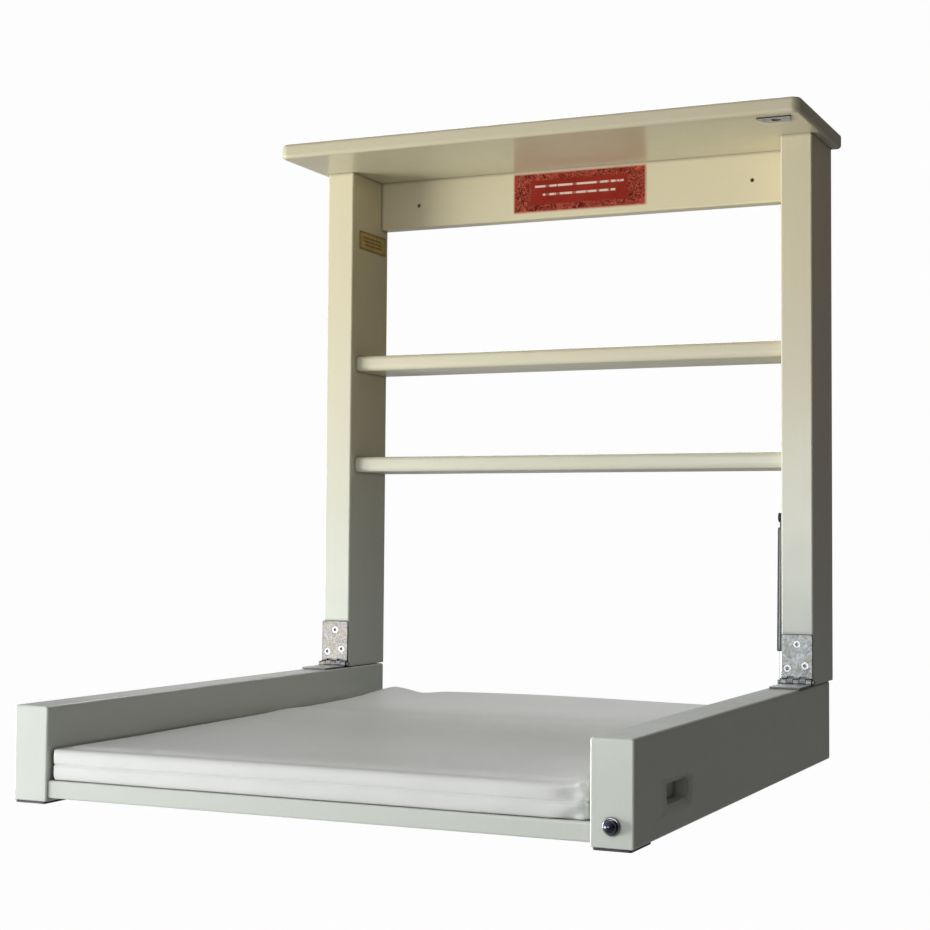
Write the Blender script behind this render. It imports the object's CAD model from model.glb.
"""Looks of the wall-hung changing table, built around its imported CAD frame.

Metres, Z up, the wall at Y = 0.
"""
import math

import bmesh
import bpy
from mathutils import Matrix, Vector, noise


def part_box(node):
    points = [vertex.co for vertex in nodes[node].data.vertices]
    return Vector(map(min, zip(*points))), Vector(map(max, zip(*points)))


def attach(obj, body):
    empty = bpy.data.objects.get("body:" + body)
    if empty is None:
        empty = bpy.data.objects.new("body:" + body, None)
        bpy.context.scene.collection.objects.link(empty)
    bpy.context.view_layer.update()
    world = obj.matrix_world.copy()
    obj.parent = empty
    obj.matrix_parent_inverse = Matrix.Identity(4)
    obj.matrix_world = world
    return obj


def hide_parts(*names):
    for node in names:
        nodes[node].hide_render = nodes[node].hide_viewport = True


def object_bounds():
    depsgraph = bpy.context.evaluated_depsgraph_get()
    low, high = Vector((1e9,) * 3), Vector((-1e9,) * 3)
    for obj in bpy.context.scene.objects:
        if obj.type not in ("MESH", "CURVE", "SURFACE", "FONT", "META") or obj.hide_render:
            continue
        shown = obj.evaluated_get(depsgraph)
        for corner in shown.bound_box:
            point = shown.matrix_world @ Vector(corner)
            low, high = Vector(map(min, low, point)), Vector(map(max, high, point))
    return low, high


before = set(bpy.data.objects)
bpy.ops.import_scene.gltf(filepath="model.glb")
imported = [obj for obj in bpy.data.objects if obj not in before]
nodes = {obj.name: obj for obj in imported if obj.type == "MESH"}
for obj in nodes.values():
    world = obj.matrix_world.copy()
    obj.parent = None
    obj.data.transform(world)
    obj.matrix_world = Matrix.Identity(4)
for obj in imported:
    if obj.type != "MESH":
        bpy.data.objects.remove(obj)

cad_box = [list(corner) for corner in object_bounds()]
MM = 0.001
BLACK = (0.0, 0.0, 0.0)
PALE = (0.985, 0.985, 0.985, 1.0)      # what the camera sees of the floor and surroundings


# ---------------------------------------------------------------- materials

# Heights between which the paint goes from fresh to yellowed, and noise scales along and across grain.
FRESH_BELOW, YELLOWED_ABOVE = -0.62, -0.10
ALONG, ACROSS = 14.0, 210.0

AO_SAMPLES = 8
BEVEL_SAMPLES = 8


class Graph:
    """A material's node tree, with short calls for the nodes used here."""

    def __init__(self, name, **constants):
        self.material = bpy.data.materials.new(name)
        self.material.use_nodes = True
        self.tree = self.material.node_tree
        self.shader = self.tree.nodes["Principled BSDF"]
        self.coordinates = self.node("ShaderNodeTexCoord")
        self.where = self.coordinates.outputs["Object"]
        for socket, value in constants.items():
            self.shader.inputs[socket.replace("_", " ")].default_value = value

    def node(self, kind, **settings):
        made = self.tree.nodes.new(kind)
        for key, value in settings.items():
            setattr(made, key, value)
        return made

    def plug(self, source, socket):
        self.tree.links.new(source, socket)

    def fill(self, socket, value):
        """Link an output to a socket, or set a plain value on it."""
        if isinstance(value, bpy.types.NodeSocket):
            self.plug(value, socket)
        else:
            socket.default_value = value

    def stretched(self, scale):
        """Object coordinates times a scale for each axis."""
        made = self.node("ShaderNodeMapping")
        made.inputs["Scale"].default_value = scale
        self.plug(self.where, made.inputs["Vector"])
        return made.outputs["Vector"]

    def noise(self, scale, detail=3.0, rough=0.5, vector=None, distortion=0.0):
        made = self.node("ShaderNodeTexNoise")
        made.inputs["Scale"].default_value = scale
        made.inputs["Detail"].default_value = detail
        made.inputs["Roughness"].default_value = rough
        made.inputs["Distortion"].default_value = distortion
        self.plug(vector or self.where, made.inputs["Vector"])
        return made.outputs["Fac"]

    def cells(self, scale, feature="F1"):
        made = self.node("ShaderNodeTexVoronoi", feature=feature)
        made.inputs["Scale"].default_value = scale
        self.plug(self.where, made.inputs["Vector"])
        return made.outputs["Distance"]

    def math(self, operation, a, b=0.0, clamp=False):
        made = self.node("ShaderNodeMath", operation=operation, use_clamp=clamp)
        self.fill(made.inputs[0], a)
        self.fill(made.inputs[1], b)
        return made.outputs["Value"]

    def ramp(self, value, low, high, start=0.0, end=1.0):
        """Map a value from low..high to start..end, clamped."""
        made = self.node("ShaderNodeMapRange")
        self.plug(value, made.inputs["Value"])
        limits = {"From Min": low, "From Max": high, "To Min": start, "To Max": end}
        for socket, number in limits.items():
            made.inputs[socket].default_value = number
        return made.outputs["Result"]

    def mix(self, factor, a, b):
        """Blend two colours."""
        made = self.node("ShaderNodeMix", data_type="RGBA")
        self.fill(made.inputs["Factor"], factor)
        for socket, value in ((made.inputs[6], a), (made.inputs[7], b)):
            self.fill(socket, value if isinstance(value, bpy.types.NodeSocket) else (*value, 1.0))
        return made.outputs[2]

    def colour(self, value):
        self.fill(self.shader.inputs["Base Color"], value)

    def roughness(self, value):
        self.fill(self.shader.inputs["Roughness"], value)

    def bump(self, height, distance, strength=1.0, under=None):
        made = self.node("ShaderNodeBump")
        made.inputs["Strength"].default_value = strength
        made.inputs["Distance"].default_value = distance
        self.plug(height, made.inputs["Height"])
        if under:
            self.plug(under, made.inputs["Normal"])
        self.plug(made.outputs["Normal"], self.shader.inputs["Normal"])
        return made.outputs["Normal"]

    def crevices(self, reach):
        """0 in the open, rising to 1 in gaps, recesses and corners narrower than reach."""
        made = self.node("ShaderNodeAmbientOcclusion", samples=AO_SAMPLES)
        made.inputs["Distance"].default_value = reach
        return self.ramp(made.outputs["AO"], 0.95, 0.35)

    def edges(self, reach):
        """1 along outer edges and the rims of holes, 0 farther in than reach."""
        rounded = self.node("ShaderNodeBevel", samples=BEVEL_SAMPLES)
        rounded.inputs["Radius"].default_value = reach
        alike = self.node("ShaderNodeVectorMath", operation="DOT_PRODUCT")
        self.plug(rounded.outputs["Normal"], alike.inputs[0])
        self.plug(self.node("ShaderNodeNewGeometry").outputs["Normal"], alike.inputs[1])
        return self.ramp(alike.outputs["Value"], 0.995, 0.92)

    def axis(self, name, source="Object"):
        """One object coordinate, or one component of the normal."""
        made = self.node("ShaderNodeSeparateXYZ")
        self.plug(self.coordinates.outputs[source], made.inputs["Vector"])
        return made.outputs[name]


def paint(name, grain, shade=1.0):
    """Semi-gloss paint over wood, yellowed towards the top.

    The grain runs along the axis with the small scale. shade darkens the paint below 1.
    """
    g = Graph(name, IOR=1.5, Specular_IOR_Level=0.5)
    clouds = g.noise(2.6, 3, 0.5)
    streaks = g.noise(1.0, 4, 0.6, g.stretched(grain), 0.3)
    fibres = g.noise(1.0, 2, 0.7, g.stretched([value * 5 for value in grain]))
    height = g.math("ADD", g.axis("Z"), g.math("MULTIPLY", clouds, 60 * MM))
    aged = g.ramp(height, FRESH_BELOW, YELLOWED_ABOVE)
    base = g.mix(aged, (0.650, 0.690, 0.640), (0.700, 0.635, 0.440))
    cloud = g.mix(aged, (0.675, 0.705, 0.655), (0.730, 0.672, 0.490))
    streak = g.mix(aged, (0.58, 0.60, 0.55), (0.60, 0.54, 0.37))
    clouded = g.mix(g.ramp(clouds, 0.35, 0.65, 0.0, 0.35), base, cloud)
    grained = g.mix(g.ramp(streaks, 0.45, 0.75, 0.0, 0.12), clouded, streak)
    shaded = g.mix(1.0 - shade, grained, BLACK)
    g.colour(g.mix(g.math("MULTIPLY", g.crevices(5 * MM), 0.8), shaded, (0.16, 0.145, 0.11)))
    g.roughness(g.ramp(g.noise(24, 3, 0.5), 0.3, 0.7, 0.20, 0.26))
    relief = g.math("ADD", g.math("MULTIPLY", streaks, 0.6), g.math("MULTIPLY", fibres, 0.4))
    lines = g.bump(relief, 0.06 * MM, 0.3)
    g.bump(g.noise(520, 2, 0.5), 0.02 * MM, 0.3, lines)
    return g.material


def vinyl():
    """White vinyl with a fine pebbled grain."""
    g = Graph("pad_vinyl", IOR=1.46, Specular_IOR_Level=0.45, Sheen_Weight=0.06,
              Sheen_Roughness=0.5)
    clouds = g.noise(5, 4, 0.6)
    pebbles = g.cells(900, "SMOOTH_F1")
    wrinkles = g.noise(34, 5, 0.6, None, 0.8)
    g.colour(g.mix(g.ramp(clouds, 0.3, 0.7), (0.715, 0.725, 0.715), (0.765, 0.772, 0.765)))
    g.roughness(g.ramp(g.noise(90, 3), 0.3, 0.7, 0.40, 0.54))
    soft = g.bump(wrinkles, 1.2 * MM, 0.22)
    g.bump(pebbles, 0.12 * MM, 0.5, soft)
    return g.material


def zinc(name, broad, tint, shade, cut=(0.025, 0.025, 0.028)):
    """Passivated zinc plate: mottled grey with faint colour, scratches, grimy gaps and cut edges.

    broad is the axis across the plate's broad faces, and cut is the colour of its cut edges.
    """
    g = Graph(name, Metallic=0.35)
    patches = g.noise(150, 5, 0.7, None, 1.2)
    hue = g.noise(70, 3, 0.5)
    flecks = g.math("MULTIPLY", g.cells(520), g.noise(330, 4, 0.7))
    grey = g.mix(g.ramp(patches, 0.38, 0.60), shade, tint)
    warm = g.mix(g.ramp(hue, 0.48, 0.62, 0.0, 0.4), grey, (0.46, 0.40, 0.27))
    cool = g.mix(g.ramp(hue, 0.46, 0.34, 0.0, 0.4), warm, (0.34, 0.33, 0.42))
    bright = g.mix(g.ramp(flecks, 0.20, 0.36, 0.0, 0.3), cool, (0.70, 0.72, 0.72))
    facing = g.math("ABSOLUTE", g.axis(broad, "Normal"))
    sides = g.mix(g.ramp(facing, 0.75, 0.45, 0.0, 0.92), bright, cut)
    edged = g.mix(g.edges(2.2 * MM), sides, cut)
    g.colour(g.mix(g.crevices(3.5 * MM), edged, (0.012, 0.012, 0.014)))
    scratches = g.noise(1.0, 3, 0.6, g.stretched((2200, 2200, 260)))
    g.roughness(g.ramp(g.math("ADD", patches, scratches), 0.7, 1.3, 0.42, 0.62))
    g.bump(g.math("ADD", scratches, g.math("MULTIPLY", patches, 0.6)), 0.05 * MM, 0.5)
    return g.material


def metal(name, colour, low, high):
    """Plain turned or plated metal with fine tool marks and dark recesses."""
    g = Graph(name, Metallic=1.0)
    marks = g.noise(1.0, 3, 0.5, g.stretched((900, 900, 2600)))
    clouds = g.noise(240, 4, 0.6)
    worn = g.mix(g.ramp(clouds, 0.35, 0.65), colour, tuple(value * 0.72 for value in colour))
    g.colour(g.mix(g.crevices(3 * MM), worn, (0.015, 0.015, 0.02)))
    g.roughness(g.ramp(marks, 0.3, 0.7, low, high))
    g.bump(marks, 0.02 * MM, 0.4)
    return g.material


def plastic(name, colour, low=0.35, high=0.5):
    """Moulded plastic with a fine spark-eroded texture."""
    g = Graph(name, IOR=1.5)
    grain = g.noise(1500, 2, 0.5)
    clouds = g.noise(60, 3, 0.5)
    pale = tuple(min(1.0, value * 1.35 + 0.01) for value in colour)
    g.colour(g.mix(g.ramp(clouds, 0.35, 0.65), colour, pale))
    g.roughness(g.ramp(clouds, 0.3, 0.7, low, high))
    g.bump(grain, 0.05 * MM, 0.35)
    return g.material


def beech():
    """Raw beech dowels."""
    g = Graph("dowel_beech", IOR=1.45, Roughness=0.6)
    streaks = g.noise(1.0, 4, 0.6, g.stretched((60, 900, 900)))
    g.colour(g.mix(g.ramp(streaks, 0.35, 0.65), (0.62, 0.43, 0.25), (0.44, 0.28, 0.15)))
    g.bump(streaks, 0.2 * MM, 0.4)
    return g.material


def rectangle(g, node, axes, halves, shift=(0.0, 0.0), blur=0.25 * MM):
    """1 inside a rectangle on a node's face, 0 outside it. shift is its place from the face's middle."""
    low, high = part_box(node)
    inside = None
    for name, half, offset in zip(axes, halves, shift):
        index = "XYZ".index(name)
        middle = (low[index] + high[index]) / 2 + offset
        away = g.math("ABSOLUTE", g.math("SUBTRACT", g.axis(name), middle))
        within = g.ramp(away, half + blur, half - blur)
        inside = within if inside is None else g.math("MULTIPLY", inside, within)
    return inside


def inset(g, node, axes, margins):
    """1 inside a rectangle set in from a node's outline by two margins, 0 in its border."""
    low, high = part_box(node)
    halves = []
    for name, margin in zip(axes, margins):
        index = "XYZ".index(name)
        halves.append((high[index] - low[index]) / 2 - margin)
    return rectangle(g, node, axes, halves, blur=1.5 * MM)


def red_sticker():
    """Red sticker: an abstract maze of lines round a plain field with two pale bars, and a pale rim."""
    node, axes = "warning_label", "XZ"
    g = Graph("label_red", IOR=1.45, Specular_IOR_Level=0.12)
    drift = g.noise(130, 2, 0.5, None, 1.5)
    lines = g.ramp(g.math("ABSOLUTE", g.math("SINE", g.math("MULTIPLY", drift, 20.0))), 0.30, 0.62)
    strength = g.ramp(g.noise(60, 2), 0.3, 0.5, 0.6, 1.0)
    border = g.mix(g.math("MULTIPLY", lines, strength), (0.60, 0.115, 0.065), (0.10, 0.006, 0.004))
    centre = g.mix(g.ramp(g.noise(30, 3), 0.35, 0.65), (0.235, 0.016, 0.008), (0.29, 0.026, 0.013))
    art = g.mix(inset(g, node, axes, (27 * MM, 11 * MM)), border, centre)
    broken = g.ramp(g.noise(1.0, 2, 0.5, g.stretched((170, 20, 20))), 0.42, 0.47, 0.15, 0.95)
    for up, half in ((8.5 * MM, 66 * MM), (-3.5 * MM, 54 * MM)):
        bar = rectangle(g, node, axes, (half, 1.5 * MM), (0.0, up))
        art = g.mix(g.math("MULTIPLY", bar, broken), art, (0.74, 0.60, 0.50))
    rim = inset(g, node, axes, (1.2 * MM, 1.2 * MM))
    g.colour(g.mix(rim, (0.80, 0.50, 0.36), art))
    g.roughness(g.ramp(drift, 0.3, 0.7, 0.42, 0.55))
    g.bump(g.noise(300, 2), 0.03 * MM, 0.4)
    return g.material


def tan_sticker():
    """Small tan type plate: dark border line and plain rows, with no lettering."""
    node, axes = "type_plate", "YZ"
    g = Graph("type_plate_tan", IOR=1.5, Specular_IOR_Level=0.2)
    clouds = g.noise(150, 4, 0.6)
    base = g.mix(g.ramp(clouds, 0.3, 0.7), (0.46, 0.31, 0.085), (0.66, 0.50, 0.20))
    outer = inset(g, node, axes, (0.5 * MM, 0.5 * MM))
    inner = inset(g, node, axes, (2.2 * MM, 2.2 * MM))
    line = g.math("SUBTRACT", outer, inner, clamp=True)
    art = g.mix(g.math("MULTIPLY", line, 0.9), base, (0.055, 0.032, 0.012))
    for row in (-1, 0, 1):
        bar = rectangle(g, node, axes, (28 * MM, 1.2 * MM), (row * 3 * MM, row * -5 * MM))
        art = g.mix(g.math("MULTIPLY", bar, 0.75), art, (0.16, 0.09, 0.035))
    g.colour(art)
    g.roughness(g.ramp(clouds, 0.3, 0.7, 0.45, 0.6))
    g.bump(g.noise(500, 2), 0.03 * MM, 0.4)
    return g.material


upright = paint("paint_upright", (ACROSS, ACROSS, ALONG))
crosswise = paint("paint_crosswise", (ALONG, ACROSS, ACROSS))
lengthwise = paint("paint_lengthwise", (ACROSS, ALONG, ACROSS))
shelf_paint = paint("paint_shelf", (ALONG, ACROSS, ACROSS), 0.84)
hinge_zinc_left = zinc("hinge_zinc_left", "Y", (0.385, 0.36, 0.325), (0.185, 0.17, 0.155))
hinge_zinc_right = zinc("hinge_zinc_right", "Y", (0.78, 0.82, 0.85), (0.28, 0.30, 0.32))
hinge_zinc_flat = zinc("hinge_zinc_flat", "Z", (0.80, 0.84, 0.86), (0.50, 0.53, 0.54),
                       cut=(0.26, 0.27, 0.27))
strike_zinc = zinc("strike_zinc", "Z", (0.60, 0.61, 0.62), (0.36, 0.37, 0.39))
bracket_zinc = zinc("bracket_zinc", "X", (0.50, 0.51, 0.50), (0.28, 0.29, 0.30))
screw_bright = metal("screw_bright", (0.64, 0.65, 0.66), 0.30, 0.42)
pin_steel = metal("pin_steel", (0.36, 0.36, 0.36), 0.28, 0.42)
stud_steel = metal("stud_steel", (0.60, 0.60, 0.60), 0.28, 0.42)
rod_chrome = metal("rod_chrome", (0.84, 0.85, 0.87), 0.06, 0.14)
spring_wire = metal("spring_wire", (0.50, 0.50, 0.52), 0.28, 0.4)
catch_chrome = metal("catch_chrome", (0.42, 0.43, 0.48), 0.06, 0.14)
catch_dark = metal("catch_dark", (0.10, 0.10, 0.14), 0.06, 0.14)
strut_enamel = plastic("strut_enamel", (0.012, 0.013, 0.022), 0.28, 0.38)
socket_nylon = plastic("socket_nylon", (0.015, 0.015, 0.018))
gland_plastic = plastic("gland_plastic", (0.03, 0.03, 0.03))
glide_plastic = plastic("glide_plastic", (0.03, 0.03, 0.045))
pad_cover = vinyl()
dowel_beech = beech()

hinge_screws = [f"{side}_hinge_{half}_screws"
                for side in ("left", "right") for half in ("upper", "lower")]
finishes = {
    upright: ["left_post", "right_post"],
    crosswise: ["top_rail", "upper_shelf_board", "lower_shelf_board"],
    shelf_paint: ["top_shelf"],
    lengthwise: ["left_arm", "right_arm", "tray_board"],
    hinge_zinc_left: ["left_hinge_upper_leaf"],
    hinge_zinc_right: ["right_hinge_upper_leaf"],
    hinge_zinc_flat: ["left_hinge_lower_leaf", "right_hinge_lower_leaf"],
    strike_zinc: ["strike_plate"],
    screw_bright: hinge_screws + ["strike_screws", "strut_top_bracket_screws",
                                  "strut_foot_bracket_screws"],
    pin_steel: ["left_hinge_pin", "right_hinge_pin"],
    bracket_zinc: ["strut_top_bracket", "strut_foot_bracket"],
    stud_steel: ["strut_top_stud", "strut_foot_stud"],
    rod_chrome: ["strut_rod"],
    spring_wire: ["catch_spring"],
    catch_chrome: ["catch_housing"],
    catch_dark: ["catch_plunger"],
    strut_enamel: ["strut_tube"],
    socket_nylon: ["strut_top_socket", "strut_foot_socket"],
    gland_plastic: ["strut_gland", "strut_piston"],
    glide_plastic: ["left_arm_glide", "right_arm_glide"],
    dowel_beech: ["frame_dowels", "tray_dowels"],
    red_sticker(): ["warning_label"],
    tan_sticker(): ["type_plate"],
    pad_cover: ["pad"],
}
for material, names in finishes.items():
    for name in names:
        for used in nodes[name].material_slots:
            used.material = material


# ---------------------------------------------------------------- pad

PAD_INSET = 1.5 * MM                   # how much smaller the block is that the cloth swells from
BLOCK_EDGE = 5 * MM
VOXEL = 5 * MM
CLOTH_PRESSURE = 4.0
CLOTH_STEPS = 20
SWELL_CAP = 5 * MM
PAD_CORNERS = (4 * MM, 12 * MM)        # corner radii in plan, left and right
SQUARENESS = 9.0                       # exponent of the side's section, 2 being round
SEAM_LOOPS = (-3.0, -1.6, -0.7, 0.0, 0.7, 1.6, 3.0)        # mm above the seam
RIDGE_FROM_REAR = 0.33
STRAY_SHARE = 0.007                    # share of points let out of the fit at each side


def new_piece(name, builder, material):
    """An object from a bmesh, with one material."""
    mesh = bpy.data.meshes.new(name)
    builder.to_mesh(mesh)
    builder.free()
    mesh.materials.append(material)
    piece = bpy.data.objects.new(name, mesh)
    bpy.context.scene.collection.objects.link(piece)
    return piece


def smooth(piece):
    piece.data.polygons.foreach_set("use_smooth", [True] * len(piece.data.polygons))
    piece.data.update()


def bell(distance, width):
    """1 at 0, falling smoothly to 0 a few widths away."""
    return math.exp(-(distance / width) ** 2)


def clamped(value):
    return max(0.0, min(1.0, value))


def apply_modifiers(piece):
    """Bake every modifier into the mesh."""
    graph = bpy.context.evaluated_depsgraph_get()
    baked = bpy.data.meshes.new_from_object(piece.evaluated_get(graph), depsgraph=graph)
    piece.modifiers.clear()
    piece.data = baked


def pad_block(low, high):
    """A block a little smaller than the pad, with eased edges, for the cloth to swell from."""
    block = bmesh.new()
    bmesh.ops.create_cube(block, size=1.0)
    size = [high[i] - low[i] - 2 * PAD_INSET for i in range(3)]
    middle = [(high[i] + low[i]) / 2 for i in range(3)]
    for vertex in block.verts:
        vertex.co = Vector(vertex.co[i] * size[i] + middle[i] for i in range(3))
    bmesh.ops.bevel(block, geom=block.edges[:], offset=BLOCK_EDGE, segments=3, affect="EDGES",
                    profile=0.6)
    return block


def swell(piece):
    """Blow the piece up as cloth, limiting how far each point moves."""
    start = [vertex.co.copy() for vertex in piece.data.vertices]
    cloth = piece.modifiers.new("swell", "CLOTH")
    cloth.settings.use_pressure = True
    cloth.settings.uniform_pressure_force = CLOTH_PRESSURE
    cloth.settings.effector_weights.gravity = 0.0
    cloth.settings.quality = 5
    cloth.collision_settings.use_collision = False
    scene = bpy.context.scene
    for step in range(1, CLOTH_STEPS + 1):
        scene.frame_set(step)
    apply_modifiers(piece)
    scene.frame_set(1)
    for vertex, before in zip(piece.data.vertices, start):
        move = vertex.co - before
        if move.length > SWELL_CAP:
            vertex.co = before + move.normalized() * SWELL_CAP


def cut_seam(piece, seam_z):
    """Add edge loops round the sides, close together at the seam."""
    mesh = bmesh.new()
    mesh.from_mesh(piece.data)
    for offset in SEAM_LOOPS:
        every = mesh.verts[:] + mesh.edges[:] + mesh.faces[:]
        bmesh.ops.bisect_plane(mesh, geom=every, plane_co=(0, 0, seam_z + offset * MM),
                               plane_no=(0, 0, 1))
    mesh.to_mesh(piece.data)
    mesh.free()


class Outline:
    """The pad's plan, a rectangle with a corner radius for its left side and one for its right."""

    def __init__(self, low, high, radii):
        self.middle = ((low.x + high.x) / 2, (low.y + high.y) / 2)
        self.half = ((high.x - low.x) / 2, (high.y - low.y) / 2)
        self.radii = radii

    def inward(self, x, y):
        """How far a point is inside the outline, and the way out."""
        across, along = x - self.middle[0], y - self.middle[1]
        radius = self.radii[0] if across < 0 else self.radii[1]
        beyond = Vector((abs(across) - self.half[0] + radius, abs(along) - self.half[1] + radius))
        corner = Vector((max(beyond.x, 0.0), max(beyond.y, 0.0)))
        distance = radius - corner.length - min(max(beyond.x, beyond.y), 0.0)
        if corner.length > 0:
            out = corner.normalized()
        else:
            out = Vector((1.0, 0.0)) if beyond.x > beyond.y else Vector((0.0, 1.0))
        return distance, Vector((math.copysign(out.x, across), math.copysign(out.y, along)))


def square_up(piece, outline, low, high):
    """Give the swollen sides the fuller, nearly square section of a foam slab in a tight cover."""
    half = (high.z - low.z) / 2
    middle = (high.z + low.z) / 2
    for vertex in piece.data.vertices:
        x, y, z = vertex.co
        distance, out = outline.inward(x, y)
        level, reach = (z - middle) / half, (half - distance) / half
        if reach > 0.02:
            length = math.hypot(reach, level)
            total = abs(reach / length) ** SQUARENESS + abs(level / length) ** SQUARENESS
            full = max(total ** (-1 / SQUARENESS), length)
            blend = min(1.0, reach / 0.35)
            new_reach = reach + (full * reach / length - reach) * blend
            new_level = level + (full * level / length - level) * blend
            shift = (new_reach - reach) * half
            x += out.x * shift
            y += out.y * shift
            z = middle + new_level * half
        vertex.co = (x, y, z)


def top_relief(x, y, low, high, inside):
    """How far the pad's top rises above a flat slab. inside is 0 at the outline and 1 away from it."""
    front, rear = y - low.y, high.y - y
    crown = inside * (1 - bell(front, 0.28)) * 5
    bend = 0.012 * math.sin(x * 9)
    ridge = bell(RIDGE_FROM_REAR - rear - bend, 0.030) * inside * 2.6
    back = clamped((0.26 - rear) / 0.2) * inside * 3.0
    lift = 5.5 * bell(x + 0.265, 0.028) - 3.0 * bell(x + 0.212, 0.022) + 4.0 * bell(x + 0.06, 0.16)
    waves = bell(rear - 0.02, 0.09) * lift
    soft = noise.noise(Vector((x * 5, y * 5, 0.0))) * 1.1 * (0.35 + 0.65 * inside)
    return (crown + ridge + back + waves + soft) * MM


def side_relief(x, y, z, seam_z, across, front):
    """How far the pad's sides stand out: rolls and ripples, less the seam's groove and corner folds."""
    wander = noise.noise(Vector((x * 7, y * 7, 3.0))) * 1.2 * MM
    above = z - seam_z - wander
    groove = bell(above, 1.1 * MM) * 1.7
    rolls = (bell(above - 8 * MM, 7 * MM) + bell(above + 8 * MM, 7 * MM)) * 0.7
    ripple = noise.noise(Vector((x * 16, y * 16, z * 60))) * 0.8
    pinch = bell(across - 0.014, 0.016) * bell(front, 0.03)
    upper_fold = 6.0 * bell(above - 7 * MM, 5 * MM)
    lower_fold = 4.5 * bell(above + 8 * MM + across * 0.3, 5 * MM)
    return (rolls + ripple - groove - pinch * (upper_fold + lower_fold) - 1.3) * MM


def shape_pad(piece, outline, low, high, seam_z):
    """Crown the top, then add the seam between two soft rolls, the ridge, the rear waves and folds."""
    for vertex in piece.data.vertices:
        x, y, z = vertex.co
        rise = clamped((z - low.z) / (high.z - low.z))
        edge, out = outline.inward(x, y)
        z += rise * top_relief(x, y, low, high, clamped(edge / 0.05))

        front, across = y - low.y, high.x - x
        shift = side_relief(x, y, z, seam_z, across, front) * clamped(1 - edge / 0.018)
        ear = bell(across - 0.007, 0.006) * bell(front, 0.03) * bell(z - high.z, 5 * MM) * 3.0 * MM
        x += out.x * shift
        y += out.y * shift
        vertex.co = (x, y, max(z + ear, low.z + 0.2 * MM))


def fit_plan(piece, low, high):
    """Stretch the piece in plan so that its sides reach the pad's own box."""
    for axis in (0, 1):
        values = sorted(vertex.co[axis] for vertex in piece.data.vertices)
        stray = int(len(values) * STRAY_SHARE)
        least, most = values[stray], values[-1 - stray]
        scale = (high[axis] - low[axis]) / (most - least)
        for vertex in piece.data.vertices:
            vertex.co[axis] = low[axis] + (vertex.co[axis] - least) * scale


def make_pad():
    """The pad's cover, simulated as cloth in the space of its CAD solid."""
    low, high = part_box("pad")
    pad = new_piece("pad_cover", pad_block(low, high), pad_cover)
    remesh = pad.modifiers.new("voxels", "REMESH")
    remesh.mode = "VOXEL"
    remesh.voxel_size = VOXEL
    apply_modifiers(pad)
    swell(pad)
    subdivide = pad.modifiers.new("finer", "SUBSURF")
    subdivide.levels = 1
    apply_modifiers(pad)
    outline = Outline(low, high, PAD_CORNERS)
    seam_z = (low.z + high.z) / 2
    square_up(pad, outline, low, high)
    cut_seam(pad, seam_z)
    shape_pad(pad, outline, low, high, seam_z)
    fit_plan(pad, low, high)
    smooth(pad)
    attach(pad, "tray")
    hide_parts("pad")


make_pad()


# ---------------------------------------------------------------- studio

# The camera: direction and distance from the object's middle, its sideways and upward offset, and lens.
VIEW_AZIMUTH = 24.727
VIEW_ELEVATION = -3.069
VIEW_ROLL = 0.0084
VIEW_DISTANCE = 2.167
CAMERA_RIGHT, CAMERA_UP = -0.0286, -0.0164
LENS = 70.005
SHIFT = (0.0257, -0.0222)

# Name, azimuth, elevation, distance, width and height, watts and colour of each light.
LIGHTS = (
    ("key_low", -66, -11, 2.6, (2.2, 1.2), 84, (0.99, 1.0, 0.985)),
    ("key_high", -60, 6, 3.2, (2.2, 1.2), 9, (1.0, 0.95, 0.86)),
    ("fill", -3, -4, 1.9, (0.8, 0.6), 6, (0.98, 1.0, 1.0)),
    ("sheen", -155, 0, 2.8, (2.0, 0.45), 0.8, (0.96, 0.98, 1.0)),
    ("rear", -165, 34, 2.8, (1.6, 1.2), 20, (0.95, 0.97, 1.0)),
)

# The surroundings' light: its brightest direction, falloff, strength there and strength opposite.
GLOW_DIRECTION = (-75, 12)
GLOW_FALLOFF = 1.7
GLOW_STRENGTH, GLOW_BASE = 0.68, 0.033
GLOW_WARM, GLOW_WHITE = (1.0, 0.68, 0.52, 1.0), (1.0, 1.0, 1.0, 1.0)

FLOOR_DROP = 0.9                       # below the table's lowest point
FLOOR_REACH = 30.0

low_corner, high_corner = (Vector(corner) for corner in cad_box)
centre = (low_corner + high_corner) / 2


def aim(thing, place, target, roll=0.0):
    """Put a camera or light at a place, looking at a target."""
    forward = (target - place).normalized()
    right = forward.cross(Vector((0, 0, 1))).normalized()
    up = right.cross(forward)
    turned = right * math.cos(roll) + up * math.sin(roll)
    above = up * math.cos(roll) - right * math.sin(roll)
    basis = Matrix((turned, above, -forward)).transposed()
    thing.matrix_world = Matrix.Translation(place) @ basis.to_4x4()


def direction(azimuth, elevation):
    """Unit vector from the object towards that azimuth and elevation in degrees, 0 being the front."""
    a, e = math.radians(azimuth), math.radians(elevation)
    return Vector((math.sin(a) * math.cos(e), -math.cos(a) * math.cos(e), math.sin(e)))


def area_light(name, azimuth, elevation, distance, size, watts, colour):
    """A soft oval light, size being its width and height, facing the object's middle."""
    lamp = bpy.data.lights.new(name, "AREA")
    lamp.shape = "ELLIPSE"
    lamp.size, lamp.size_y = size
    lamp.energy = watts
    lamp.color = colour
    light = bpy.data.objects.new(name, lamp)
    bpy.context.scene.collection.objects.link(light)
    light.visible_camera = False
    aim(light, centre + direction(azimuth, elevation) * distance, centre)


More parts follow.
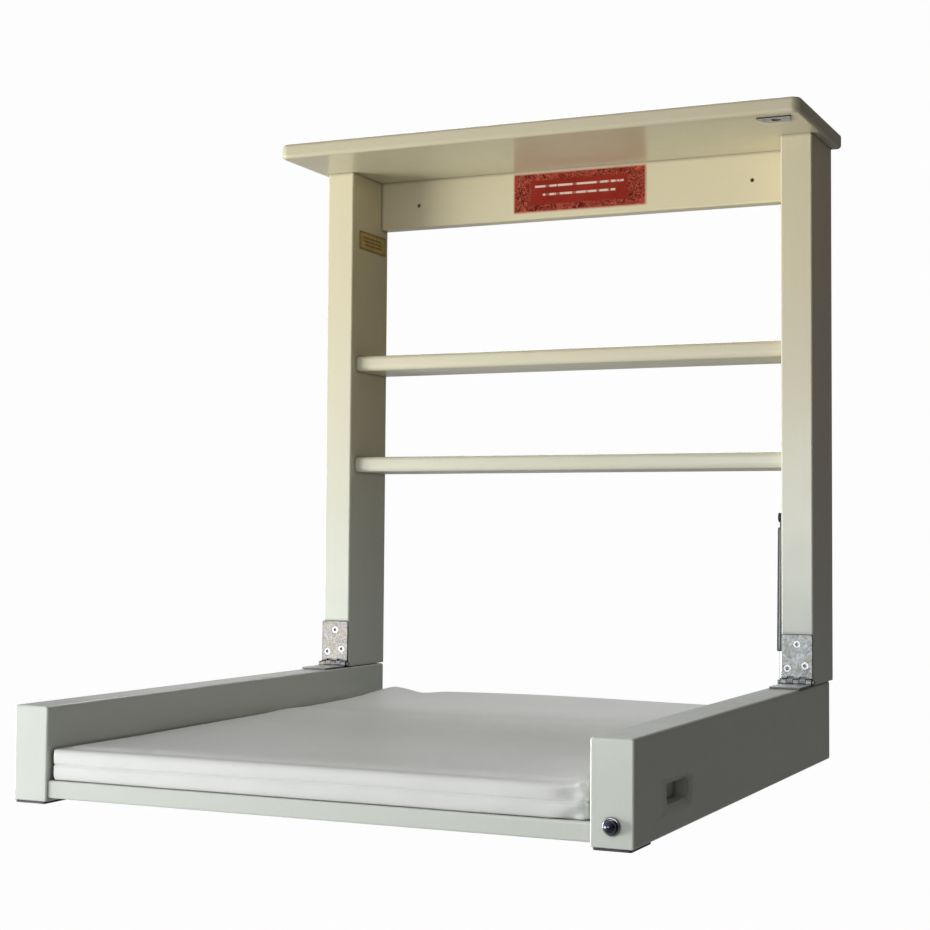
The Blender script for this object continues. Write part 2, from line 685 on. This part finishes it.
def make_camera():
    toward = direction(VIEW_AZIMUTH, VIEW_ELEVATION)
    side = (-toward).cross(Vector((0, 0, 1))).normalized()
    upward = side.cross(-toward)
    place = centre + toward * VIEW_DISTANCE + side * CAMERA_RIGHT + upward * CAMERA_UP
    lens = bpy.data.cameras.new("camera")
    lens.lens = LENS
    lens.shift_x, lens.shift_y = SHIFT
    camera = bpy.data.objects.new("camera", lens)
    bpy.context.scene.collection.objects.link(camera)
    aim(camera, place, place - toward, VIEW_ROLL)
    bpy.context.scene.camera = camera


def make_surroundings():
    """Soft surroundings: brightest towards the front left, dim and warm on the right, pale to the eye."""
    world = bpy.data.worlds.new("studio")
    world.use_nodes = True
    bpy.context.scene.world = world
    tree = world.node_tree

    def number(operation, source, value):
        made = tree.nodes.new("ShaderNodeMath")
        made.operation = operation
        tree.links.new(source, made.inputs[0])
        made.inputs[1].default_value = value
        return made.outputs["Value"]

    facing = tree.nodes.new("ShaderNodeVectorMath")
    facing.operation = "DOT_PRODUCT"
    facing.inputs[1].default_value = direction(*GLOW_DIRECTION)
    tree.links.new(tree.nodes.new("ShaderNodeTexCoord").outputs["Generated"], facing.inputs[0])
    nearness = number("MULTIPLY", number("ADD", facing.outputs["Value"], 1.0), 0.5)
    glow = number("MULTIPLY", number("POWER", nearness, GLOW_FALLOFF), GLOW_STRENGTH)
    tone = tree.nodes.new("ShaderNodeMix")
    tone.data_type = "RGBA"
    tone.inputs[6].default_value = GLOW_WARM
    tone.inputs[7].default_value = GLOW_WHITE
    whiteness = number("MINIMUM", number("MULTIPLY", nearness, 2.2), 1.0)
    tree.links.new(whiteness, tone.inputs["Factor"])
    lit = tree.nodes["Background"]
    tree.links.new(tone.outputs[2], lit.inputs["Color"])
    tree.links.new(number("ADD", glow, GLOW_BASE), lit.inputs["Strength"])
    shown = tree.nodes.new("ShaderNodeBackground")
    shown.inputs["Color"].default_value = PALE
    rays = tree.nodes.new("ShaderNodeLightPath")
    choose = tree.nodes.new("ShaderNodeMixShader")
    tree.links.new(rays.outputs["Is Camera Ray"], choose.inputs["Fac"])
    tree.links.new(lit.outputs["Background"], choose.inputs[1])
    tree.links.new(shown.outputs["Background"], choose.inputs[2])
    tree.links.new(choose.outputs["Shader"], tree.nodes["World Output"].inputs["Surface"])


def make_floor():
    """A pale plain floor well below the table. It looks near white and throws little light back up."""
    floor_z = low_corner.z - FLOOR_DROP
    grid = bmesh.new()
    bmesh.ops.create_grid(grid, x_segments=1, y_segments=1, size=FLOOR_REACH)
    bmesh.ops.translate(grid, verts=grid.verts[:], vec=(centre.x, centre.y, floor_z))
    look = Graph("floor", Roughness=0.9)
    look.colour(look.mix(look.ramp(look.noise(0.6), 0.3, 0.7), (0.34, 0.34, 0.34), (0.36, 0.36, 0.36)))
    pale = look.node("ShaderNodeEmission")
    pale.inputs["Color"].default_value = PALE
    seen = look.node("ShaderNodeLightPath").outputs["Is Camera Ray"]
    choose = look.node("ShaderNodeMixShader")
    look.plug(seen, choose.inputs["Fac"])
    look.plug(look.shader.outputs["BSDF"], choose.inputs[1])
    look.plug(pale.outputs["Emission"], choose.inputs[2])
    output = look.tree.nodes["Material Output"]
    look.plug(choose.outputs["Shader"], output.inputs["Surface"])
    new_piece("floor", grid, look.material)


make_camera()
for row in LIGHTS:
    area_light(*row)
make_surroundings()
make_floor()

bpy.context.scene.view_settings.view_transform = "Standard"
